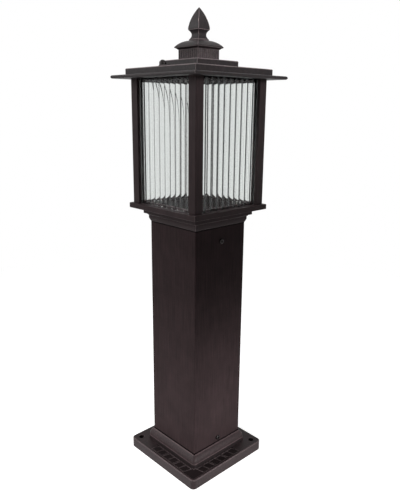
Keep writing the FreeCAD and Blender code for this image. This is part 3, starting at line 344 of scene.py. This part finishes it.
def woven_sleeve():
    """Heat-proof glass-fibre sleeve over the lead, braided aslant from black yarn 0.8 mm wide."""
    material, tree = new_material("braided_glass_fibre_sleeve")
    where = add_node(tree, "ShaderNodeTexCoord")
    tilt = add_node(tree, "ShaderNodeMapping", {
        "Vector": (where, "Object"), "Rotation": (0.7, 0.7, 0.0)})
    yarn = add_node(tree, "ShaderNodeTexWave", {
        "Vector": (tilt, "Vector"), "Scale": 1 / YARN_WAVE, "Distortion": 0.5})
    tone = add_node(tree, "ShaderNodeValToRGB", {"Fac": (yarn, "Fac")})
    tone.color_ramp.elements[0].color = linear("#141414")
    tone.color_ramp.elements[1].color = linear("#2c2c2b")
    bump = add_node(tree, "ShaderNodeBump", {
        "Height": (yarn, "Fac"), "Strength": 0.5, "Distance": 0.1 * MM})
    shader = add_node(tree, "ShaderNodeBsdfPrincipled", {
        "Base Color": (tone, "Color"), "Roughness": 0.7, "Normal": (bump, "Normal")})
    finish_material(tree, (shader, "BSDF"))
    return material


# ---- pieces -------------------------------------------------------------------------------
def piece_from(bm, name, materials, body="root"):
    """A finished piece at the origin, its place in its mesh, riding on a body."""
    mesh = bpy.data.meshes.new(name)
    bm.to_mesh(mesh)
    bm.free()
    for material in materials:
        mesh.materials.append(material)
    piece = bpy.data.objects.new(name, mesh)
    bpy.context.scene.collection.objects.link(piece)
    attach(piece, body)
    return piece


def smooth_to(bm, angle):
    """Smooth faces, with every edge sharper than the angle kept hard."""
    for face in bm.faces:
        face.smooth = True
    for edge in bm.edges:
        edge.smooth = edge.is_manifold and edge.calc_face_angle() < angle


def even_normals(piece):
    """Shades large flat faces flat, up to their rounded edges."""
    weighted = piece.modifiers.new("even_normals", "WEIGHTED_NORMAL")
    weighted.keep_sharp = True


def has_room(edge, sharp, radius):
    """Whether the faces beside an edge are wide enough for its round."""
    beside = {e for v in edge.verts for e in v.link_edges} - sharp
    return all(e.calc_length() > ROOM_SHARE * radius for e in beside)


def rounded_copy(node, name, body, materials, radius, inner=None):
    """A casting's node with its outward edges rounded, standing for that node. The rounds take the
    second material, and the faces that inner picks take the third."""
    bm = bmesh.new()
    bm.from_mesh(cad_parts[node].data)
    bmesh.ops.remove_doubles(bm, verts=bm.verts, dist=MERGE)
    bmesh.ops.dissolve_limit(bm, angle_limit=FLAT, verts=bm.verts, edges=bm.edges)
    if inner:
        # cut along the panes' back faces, so that the inner material ends under the glass
        for axis in (Vector((1, 0, 0)), Vector((0, 1, 0))):
            for side in (1, -1):
                whole = bm.verts[:] + bm.edges[:] + bm.faces[:]
                bmesh.ops.bisect_plane(bm, geom=whole, dist=MERGE,
                                       plane_co=side * PANE_BACK * axis, plane_no=axis)
        for face in bm.faces:
            if inner(face):
                face.material_index = 2
    sharp = {e for e in bm.edges if e.is_manifold and e.is_convex and e.calc_face_angle() > SHARP}
    roomy = [e for e in sharp if has_room(e, sharp, radius)]
    made = bmesh.ops.bevel(bm, geom=roomy, offset=radius, offset_type="OFFSET", affect="EDGES",
                           segments=2, profile=0.5, material=-1, clamp_overlap=False)
    for face in made["faces"]:
        face.material_index = 1
    smooth_to(bm, SOFT)
    piece = piece_from(bm, name, materials, body)
    even_normals(piece)
    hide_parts(node)


CORNERS = ("left", "front", "right", "rear")
# each pane's turn in degrees, the axis across its flutes, and how wide and dark the shade painted along
# its ridges is, set for how light falls on that pane
PANES = {
    "pane_left_front": (0, "X", 1.5 * MM, 0.65),
    "pane_right_front": (90, "Y", 2.3 * MM, 0.95),
    "pane_right_rear": (180, "X", 1.2 * MM, 0.4),
    "pane_left_rear": (270, "Y", 1.2 * MM, 0.4),
}


def faces_lantern_floor(face):
    """Whether a face of the tray is the floor that shows through the panes."""
    centre = face.calc_center_median()
    return face.normal.z > 0.9 and max(abs(centre.x), abs(centre.y)) < PANE_BACK


def faces_roof_space(face):
    """Whether a face of the roof looks down or inward."""
    centre = face.calc_center_median()
    inward = face.normal.x * centre.x + face.normal.y * centre.y < 0
    return max(abs(centre.x), abs(centre.y)) < PANE_FACE and (face.normal.z < -0.3 or inward)


class LANTERN_OT_castings(bpy.types.Operator):
    """Round the castings' edges and give them their powder coat"""
    bl_idname = "lantern.castings"
    bl_label = "Castings and tube"

    def execute(self, context):
        sizes = context.scene.lantern_sizes
        colour = tuple(context.scene.lantern_colours.bronze)
        roof_colour = tuple(context.scene.lantern_colours.cast)
        highlight_colour = tuple(context.scene.lantern_colours.edge)
        grit = sizes.grit
        streak = sizes.streak
        fine = sizes.fine_round
        brushed = bronze_powder_coat("powder_coated_brushed_aluminium", colour, grit, streak,
                                     specular=0.06)
        # painted shade at the joints, where the tube meets the skirt and the collar
        tube = bronze_powder_coat("powder_coated_brushed_tube", colour, grit, streak, 0.4, (
            (level_mask(SKIRT_TOP, JOINT_SHADE_WIDTH), JOINT_SHADE_SHARE),
            (level_mask(TUBE_TOP, JOINT_SHADE_WIDTH), JOINT_SHADE_SHARE),
        ), specular=0.02)
        cast = bronze_powder_coat("powder_coated_cast_aluminium", roof_colour, grit)
        relief_half = FLANGE_HALF - RELIEF_RIM
        # painted shade in the sunk relief, its pockets and under the skirt's slope; painted highlights
        # along the skirt's two arrises
        relief = bronze_powder_coat("powder_coated_sand_casting", colour, grit, masks=(
            (zone_mask(FLANGE_MIDDLE, RELIEF_TOP, relief_half), RELIEF_SHADE_SHARE),
            (zone_mask(FLANGE_MIDDLE, POCKET_TOP, relief_half), POCKET_SHADE_SHARE),
            (zone_mask(SKIRT_FOOT, SKIRT_DROP, FLANGE_HALF), DROP_SHADE_SHARE),
            (level_mask(SKIRT_DROP, ARRIS_HIGHLIGHT_WIDTH), ARRIS_HIGHLIGHT_SHARE),
            (level_mask(SKIRT_TOP - CREST_DROP, CREST_HIGHLIGHT_WIDTH), CREST_HIGHLIGHT_SHARE),
        ))
        # painted shade: a darkened copy of the coat for the faces inside the lantern and under the roof
        shaded = tuple(INSIDE_SHADE_SHARE * c for c in colour[:3]) + (1.0,)
        inside = bronze_powder_coat("matt_powder_coat_painted_shade", shaded, grit,
                                    gloss=(0.8, 0.95), specular=0.0)
        # painted highlights on the rounds, at full and half strength
        edge = bronze_powder_coat("powder_coat_painted_highlight", highlight_colour, grit)
        soft_highlight_colour = tuple((a + b) / 2 for a, b in zip(colour, highlight_colour))
        soft = bronze_powder_coat("powder_coat_soft_painted_highlight", soft_highlight_colour, grit)
        rounded_copy("base_casting", "base", "root", (relief, soft), fine)
        rounded_copy("neck_collar", "collar", "root", (brushed, soft), fine)
        rounded_copy("lantern_tray", "tray", "root", (brushed, soft, inside), fine,
                     faces_lantern_floor)
        for corner in CORNERS:
            # an upright's rounds get no painted highlight, so both its materials are the same
            rounded_copy("corner_post_" + corner, "upright_" + corner, "root", (brushed, brushed), fine)
        rounded_copy("roof_shell", "roof", "roof", (cast, edge, inside), fine, faces_roof_space)
        rounded_copy("ribbed_neck", "neck", "roof", (cast, edge), NECK_ROUND)
        rounded_copy("domed_cap", "cap", "roof", (cast, edge), fine)
        rounded_copy("finial", "spear", "finial", (cast, edge), fine)
        set_material("post_tube", tube)
        set_material("top_frame", inside)
        return {"FINISHED"}


def set_material(node, material):
    """Gives a CAD node its finish."""
    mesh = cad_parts[node].data
    mesh.materials.clear()
    mesh.materials.append(material)


def fluted_pane(sizes):
    """The left front pane's mesh: each flute's arc is spun about its own axis, the outline is
    closed along the flat back and drawn up, and the ridges between the flutes are rounded."""
    pitch = 2 * PANE_HALF / sizes.flute_count
    radius = (pitch ** 2 / 4 + sizes.flute_depth ** 2) / (2 * sizes.flute_depth)
    half_angle = math.asin(pitch / 2 / radius)
    bm = bmesh.new()
    z0 = PANE_LOW.z
    axis_y = -(PANE_FACE - sizes.flute_depth) - radius
    for k in range(sizes.flute_count):
        middle = -PANE_HALF + pitch * (k + 0.5)
        start = bm.verts.new((middle - pitch / 2, -PANE_FACE, z0))
        bmesh.ops.spin(bm, geom=[start], cent=(middle, axis_y, z0), axis=(0, 0, 1), dvec=(0, 0, 0),
                       angle=-2 * half_angle, steps=12, use_duplicate=False)
    corners = [bm.verts.new((x, -PANE_BACK, z0)) for x in (-PANE_HALF, PANE_HALF)]
    bmesh.ops.remove_doubles(bm, verts=bm.verts, dist=MERGE)
    fluted = [v for v in bm.verts if v not in corners]
    ends = [min(fluted, key=lambda v: side * v.co.x) for side in (1, -1)]
    bm.edges.new((ends[0], corners[0]))
    bm.edges.new((corners[0], corners[1]))
    bm.edges.new((corners[1], ends[1]))
    face = bmesh.ops.contextual_create(bm, geom=bm.edges)["faces"]
    drawn = bmesh.ops.extrude_face_region(bm, geom=face)["geom"]
    top = [v for v in drawn if isinstance(v, bmesh.types.BMVert)]
    bmesh.ops.translate(bm, verts=top, vec=(0, 0, PANE_HIGH.z - z0))
    bmesh.ops.recalc_face_normals(bm, faces=bm.faces)
    ridges = []
    for edge in bm.edges:
        a, b = edge.verts
        upright = abs(a.co.z - b.co.z) > MM
        if upright and abs(a.co.y + PANE_FACE) < MERGE and abs(a.co.x) < PANE_HALF - MM:
            ridges.append(edge)
    bmesh.ops.bevel(bm, geom=ridges, offset=sizes.ridge_round, offset_type="OFFSET", affect="EDGES",
                    segments=4, profile=0.5, material=-1)
    for face in bm.faces:
        front = all(v.co.y < -PANE_FACE + 2 * sizes.flute_depth for v in face.verts)
        face.material_index = 1 if front else 0
    smooth_to(bm, SOFT)
    return bm


class LANTERN_OT_glazing(bpy.types.Operator):
    """Make the four fluted panes"""
    bl_idname = "lantern.glazing"
    bl_label = "Fluted panes"

    def execute(self, context):
        sizes = context.scene.lantern_sizes
        colour = tuple(context.scene.lantern_colours.glass)
        glass = pressed_glass(colour)
        rubber = plain_finish("moulded_epdm_rubber", linear("#1b1b1a"), 0.75)
        pitch = 2 * PANE_HALF / sizes.flute_count
        for node, (turn, axis, width, ridge_shade_strength) in PANES.items():
            ridged = pressed_glass(colour, "fluted_glass_painted_ridges_" + node, (axis, pitch, width, ridge_shade_strength))
            bm = fluted_pane(sizes)
            about_axis = Matrix.Rotation(math.radians(turn), 3, "Z")
            bmesh.ops.rotate(bm, verts=bm.verts, cent=(0, 0, 0), matrix=about_axis)
            piece = piece_from(bm, node.replace("pane", "fluted_pane"), (glass, ridged))
            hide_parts(node)
        for node in ("glazing_strips", "tray_grommet", "roof_screw_seals"):
            set_material(node, rubber)
        return {"FINISHED"}


def cross_screw(head_r, head_t, shank_r, length):
    """A screw along +Z, its head's underside at 0: a domed head with a cross recess."""
    bm = bmesh.new()
    rim = HEAD_RIM_SHARE * head_t
    mouth = RECESS_SHARE * head_r
    outline = [(0, -length), (shank_r, -length), (shank_r, 0), (head_r, 0), (head_r, rim)]
    steps = 4
    for k in range(1, steps + 1):
        angle = math.pi / 2 * k / steps
        outline.append((mouth + (head_r - mouth) * math.cos(angle),
                        rim + (head_t - rim) * math.sin(angle)))
    points = [bm.verts.new((r, 0, z)) for r, z in outline]
    for a, b in zip(points, points[1:]):
        bm.edges.new((a, b))
    bmesh.ops.spin(bm, geom=bm.verts[:] + bm.edges[:], cent=(0, 0, 0), axis=(0, 0, 1),
                   dvec=(0, 0, 0), angle=2 * math.pi, steps=24, use_merge=True,
                   use_duplicate=False)
    bmesh.ops.remove_doubles(bm, verts=bm.verts, dist=MERGE)
    ring = [e for e in bm.edges if e.is_boundary]
    inner = bmesh.ops.extrude_edge_only(bm, edges=ring)["geom"]
    for vert in (g for g in inner if isinstance(g, bmesh.types.BMVert)):
        turn = math.degrees(math.atan2(vert.co.y, vert.co.x)) % 90
        in_arm = min(turn, 90 - turn) < ARM_HALF_ANGLE
        vert.co.xy *= ARM_REACH if in_arm else WEB_REACH
    mouth_edges = [g for g in inner if isinstance(g, bmesh.types.BMEdge) and g.is_boundary]
    deep = bmesh.ops.extrude_edge_only(bm, edges=mouth_edges)["geom"]
    floor_verts = [g for g in deep if isinstance(g, bmesh.types.BMVert)]
    bmesh.ops.translate(bm, verts=floor_verts, vec=(0, 0, -RECESS_DEPTH_SHARE * head_t))
    bmesh.ops.contextual_create(bm, geom=[e for e in bm.edges if e.is_boundary])
    bmesh.ops.recalc_face_normals(bm, faces=bm.faces)
    return bm


def post_screw_pair(node, name, material):
    """The two cross-recessed screws of one of the tube's ends, standing for that node."""
    low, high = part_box(node)
    centre = (low + high) / 2
    head_t = high.x - TUBE_HALF
    bm = bmesh.new()
    for side in (1, -1):
        one = cross_screw((high.z - low.z) / 2, head_t, SHANK_R, TUBE_SCREW_BITE)
        turn = Matrix.Rotation(side * math.pi / 2, 4, "Y")
        place = Matrix.Translation((side * TUBE_HALF, centre.y, centre.z))
        bmesh.ops.transform(one, matrix=place @ turn, verts=one.verts)
        mesh = bpy.data.meshes.new(name)
        one.to_mesh(mesh)
        one.free()
        bm.from_mesh(mesh)
        bpy.data.meshes.remove(mesh)
    smooth_to(bm, SCREW_SOFT)
    piece = piece_from(bm, name, (material,))
    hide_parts(node)


def domed_roof_screw(node, body, material):
    """A roof screw: hexagon foot, round dome and shank, standing for its node."""
    low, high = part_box(node)
    centre = (low + high) / 2
    foot_r = (high.x - low.x) / 2
    bm = bmesh.new()
    foot = high.z - DOME_SCREW_HEIGHT
    hexagon_place = Matrix.Translation((centre.x, centre.y, foot + DOME_SCREW_FOOT / 2))
    corner_forward = Matrix.Rotation(math.radians(90), 4, "Z")
    bmesh.ops.create_cone(bm, cap_ends=True, segments=6, radius1=foot_r, radius2=foot_r,
                          depth=DOME_SCREW_FOOT, matrix=hexagon_place @ corner_forward)
    uprights = [e for e in bm.edges if abs(e.verts[0].co.z - e.verts[1].co.z) > MM]
    bmesh.ops.bevel(bm, geom=uprights, offset=HEXAGON_ROUND, offset_type="OFFSET",
                    affect="EDGES", segments=2, profile=0.5, material=-1)
    dome_r = foot_r * DOME_SHARE
    ball = bmesh.ops.create_uvsphere(bm, u_segments=24, v_segments=12, radius=dome_r)["verts"]
    bmesh.ops.scale(bm, vec=(1, 1, DOME_HEIGHT / dome_r), verts=ball)
    bmesh.ops.translate(bm, vec=(centre.x, centre.y, foot + DOME_SCREW_FOOT), verts=ball)
    shank_place = Matrix.Translation((centre.x, centre.y, (foot + low.z) / 2))
    bmesh.ops.create_cone(bm, cap_ends=True, segments=20, radius1=SHANK_R, radius2=SHANK_R,
                          depth=foot - low.z, matrix=shank_place)
    smooth_to(bm, SCREW_SOFT)
    piece = piece_from(bm, node.replace("roof_screw", "domed_screw"), (material,), body)
    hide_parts(node)


class LANTERN_OT_screws(bpy.types.Operator):
    """Make the screws that show: two at each end of the tube, and the roof's two"""
    bl_idname = "lantern.screws"
    bl_label = "Screws that show"

    def execute(self, context):
        black = plain_finish("blacked_stainless_steel", linear("#242121"), 0.25, metallic=0.9,
                             grain=0.4 * MM)
        post_screw_pair("post_head_screws", "head_cross_screws", black)
        post_screw_pair("post_foot_screws", "foot_cross_screws", black)
        for node in ("roof_screw_front", "roof_screw_rear"):
            domed_roof_screw(node, node, black)
        return {"FINISHED"}


class LANTERN_OT_lamp_gear(bpy.types.Operator):
    """Finish the lampholder, the wiring and the inner screws"""
    bl_idname = "lantern.lamp_gear"
    bl_label = "Lampholder, wiring and screws"

    def execute(self, context):
        colour = tuple(context.scene.lantern_colours.steel)
        steel = plain_finish("turned_stainless_steel", colour, 0.3, 1.0, grain=0.3 * MM)
        zinc = plain_finish("black_passivated_zinc", linear("#37383a"), 0.45, 1.0, grain=2 * MM)
        brass = plain_finish("drawn_brass", linear("#c9a35a"), 0.3, 1.0, grain=0.4 * MM)
        resin = plain_finish("moulded_phenolic_resin", linear("#211e1c"), 0.4, grain=1.5 * MM)
        nylon = plain_finish("moulded_nylon", linear("#d9d8d2"), 0.5, grain=1 * MM, contrast=0.05)
        finishes = {
            steel: ("tray_screws", "corner_post_screws_lower", "corner_post_screws_upper",
                    "neck_screws", "finial_stud", "finial_nut"),
            zinc: ("lampholder_bar", "lampholder_bar_screws"),
            brass: ("lampholder_screw_shell", "lampholder_contact", "terminal_block_screws",
                    "earth_terminal"),
            resin: ("lampholder_body", "lampholder_clamp_ring"),
            nylon: ("terminal_block",),
            woven_sleeve(): ("lamp_lead",),
        }
        for material, nodes in finishes.items():
            for node in nodes:
                set_material(node, material)
        return {"FINISHED"}


# ---- stage -------------------------------------------------------------------------------------
# the camera, as fitted to the corners that the photograph shows
CAMERA_PLACE = Vector((667.5, -621.9, 645.9)) * MM
CAMERA_TURN = math.radians(46.734)        # about the vertical, from looking along +Y
CAMERA_DIP = math.radians(14.995)
CAMERA_ROLL = math.radians(0.4846)
FOCAL_PIXELS = 530.43
FRAME_PIXELS = 500                        # the longer side of the photograph's frame
SENSOR = 36.0                             # millimetres, as Blender counts them


class LANTERN_OT_camera(bpy.types.Operator):
    """Set the camera at the photograph's viewing angle"""
    bl_idname = "lantern.camera"
    bl_label = "Camera"

    def execute(self, context):
        data = bpy.data.cameras.new("photo_view")
        data.sensor_width = SENSOR
        data.lens = SENSOR * FOCAL_PIXELS / FRAME_PIXELS
        data.clip_start = 0.01
        data.clip_end = 100
        camera = bpy.data.objects.new("photo_view", data)
        upright = Matrix.Rotation(math.radians(90) - CAMERA_DIP, 4, "X")
        camera.matrix_world = (Matrix.Translation(CAMERA_PLACE) @ Matrix.Rotation(CAMERA_TURN, 4, "Z")
                               @ upright @ Matrix.Rotation(CAMERA_ROLL, 4, "Z"))
        context.scene.collection.objects.link(camera)
        context.scene.camera = camera
        return {"FINISHED"}


FLOOR_REACH = 12.0                # metres from the lantern to the floor's edges
FLOOR_LIFT = 0.8                  # white added to the lit paint, as an overexposed floor has
FLOOR_FADE = (0.35, 1.4)          # metres from the lantern: lit paint fades to plain white
WORLD_LEVEL = 0.04                # the surround's own light

# each lamp's place, what it points at, its side in metres, watts and spread in degrees
LANTERN_MIDDLE = (0, 0, 0.45)
LAMPS = {
    "key_softbox": ((-1.6, -2.2, 1.7), LANTERN_MIDDLE, 1.5, 51, 180),
    "top_softbox": ((0.3, -0.3, 2.6), LANTERN_MIDDLE, 1.4, 20, 180),
    "roof_fill": ((1.5, 0.1, 1.15), (0, 0, 0.79), 0.4, 0.4, 16),
    "low_fill_right": ((0.48, 0.03, 0.05), (0.06, 0, 0.07), 0.2, 0.45, 62),
    "low_fill_left": ((-0.03, -0.48, 0.05), (0, -0.06, 0.07), 0.2, 0.22, 62),
}


def seen_directly(tree):
    """1 for rays from the camera, from gloss and through glass, which see a white surround."""
    ray = add_node(tree, "ShaderNodeLightPath")
    straight = math_node(tree, "MAXIMUM", (ray, "Is Camera Ray"), (ray, "Is Glossy Ray"))
    return math_node(tree, "MAXIMUM", straight, (ray, "Is Transmission Ray"))


class LANTERN_OT_stage(bpy.types.Operator):
    """Set a pale floor, a white surround and soft studio lamps"""
    bl_idname = "lantern.stage"
    bl_label = "Floor and light"

    def execute(self, context):
        self.make_floor(tuple(context.scene.lantern_colours.floor))
        self.make_world()
        for name, (place, target, size, power, spread) in LAMPS.items():
            self.make_lamp(name, Vector(place), Vector(target), size, power, spread)
        context.scene.view_settings.view_transform = "Standard"
        return {"FINISHED"}

    def make_floor(self, colour):
        """Painted board, lit close to the lantern and plain white further off."""
        bm = bmesh.new()
        bmesh.ops.create_grid(bm, x_segments=2, y_segments=2, size=FLOOR_REACH)
        mesh = bpy.data.meshes.new("floor")
        bm.to_mesh(mesh)
        bm.free()
        material, tree = new_material("painted_studio_floor")
        where = add_node(tree, "ShaderNodeTexCoord")
        cloud = add_node(tree, "ShaderNodeTexNoise", {"Vector": (where, "Object"), "Scale": 2.0})
        gloss = add_node(tree, "ShaderNodeMapRange", {
            "Value": (cloud, "Fac"), "To Min": 0.8, "To Max": 0.9})
        paint = add_node(tree, "ShaderNodeBsdfPrincipled", {
            "Base Color": colour, "Roughness": (gloss, "Result"), "Specular IOR Level": 0.2})
        glow = add_node(tree, "ShaderNodeEmission", {
            "Color": linear("#ffffff"), "Strength": FLOOR_LIFT})
        lifted = add_node(tree, "ShaderNodeAddShader", {0: (paint, "BSDF"), 1: (glow, 0)})
        white = add_node(tree, "ShaderNodeEmission", {"Color": linear("#ffffff"), "Strength": 1.0})
        reach = add_node(tree, "ShaderNodeVectorMath", {0: (where, "Object")}, operation="LENGTH")
        far = add_node(tree, "ShaderNodeMapRange", {
            "Value": (reach, "Value"), "From Min": FLOOR_FADE[0], "From Max": FLOOR_FADE[1]},
                       interpolation_type="SMOOTHSTEP")
        faded = add_node(tree, "ShaderNodeMixShader", {
            0: (far, "Result"), 1: (lifted, 0), 2: (white, 0)})
        both = add_node(tree, "ShaderNodeMixShader", {
            0: seen_directly(tree), 1: (paint, "BSDF"), 2: (faded, 0)})
        finish_material(tree, (both, 0))
        mesh.materials.append(material)
        floor = bpy.data.objects.new("floor", mesh)
        bpy.context.scene.collection.objects.link(floor)

    def make_world(self):
        """A faint even light that looks plain white where it is seen."""
        world = bpy.data.worlds.new("studio")
        bpy.context.scene.world = world
        world.use_nodes = True
        tree = world.node_tree
        tree.nodes.clear()
        light = add_node(tree, "ShaderNodeBackground", {
            "Color": linear("#ffffff"), "Strength": WORLD_LEVEL})
        white = add_node(tree, "ShaderNodeBackground", {"Color": linear("#ffffff"), "Strength": 1.0})
        both = add_node(tree, "ShaderNodeMixShader", {
            0: seen_directly(tree), 1: (light, 0), 2: (white, 0)})
        add_node(tree, "ShaderNodeOutputWorld", {"Surface": (both, 0)})

    def make_lamp(self, name, place, target, size, power, spread):
        """A square soft lamp that points at its target."""
        data = bpy.data.lights.new(name, "AREA")
        data.shape = "SQUARE"
        data.size = size
        data.energy = power
        data.spread = math.radians(spread)
        lamp = bpy.data.objects.new(name, data)
        lamp.location = place
        lamp.rotation_mode = "QUATERNION"
        lamp.rotation_quaternion = (target - place).to_track_quat("-Z", "Y")
        bpy.context.scene.collection.objects.link(lamp)


class LANTERN_PT_parts(bpy.types.Panel):
    """The lantern's pieces, in the order in which they are made"""
    bl_idname = "LANTERN_PT_parts"
    bl_label = "Bollard lantern"
    bl_space_type = "VIEW_3D"
    bl_region_type = "UI"
    bl_category = "Lantern"

    def draw(self, context):
        for group in (context.scene.lantern_sizes, context.scene.lantern_colours):
            column = self.layout.column()
            for name in group.__annotations__:
                column.prop(group, name)
        for operator in STEPS:
            self.layout.operator(operator.bl_idname)


STEPS = (LANTERN_OT_camera, LANTERN_OT_stage, LANTERN_OT_castings, LANTERN_OT_glazing,
         LANTERN_OT_screws, LANTERN_OT_lamp_gear)
CLASSES = (LanternSizes, LanternColours, *STEPS, LANTERN_PT_parts)


def register():
    for cls in CLASSES:
        bpy.utils.register_class(cls)
    bpy.types.Scene.lantern_sizes = PointerProperty(type=LanternSizes)
    bpy.types.Scene.lantern_colours = PointerProperty(type=LanternColours)


def unregister():
    del bpy.types.Scene.lantern_colours
    del bpy.types.Scene.lantern_sizes
    for cls in reversed(CLASSES):
        bpy.utils.unregister_class(cls)


def main():
    """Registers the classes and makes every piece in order."""
    register()
    for operator in STEPS:
        module, name = operator.bl_idname.split(".")
        getattr(getattr(bpy.ops, module), name)()


if __name__ == "__main__":
    main()
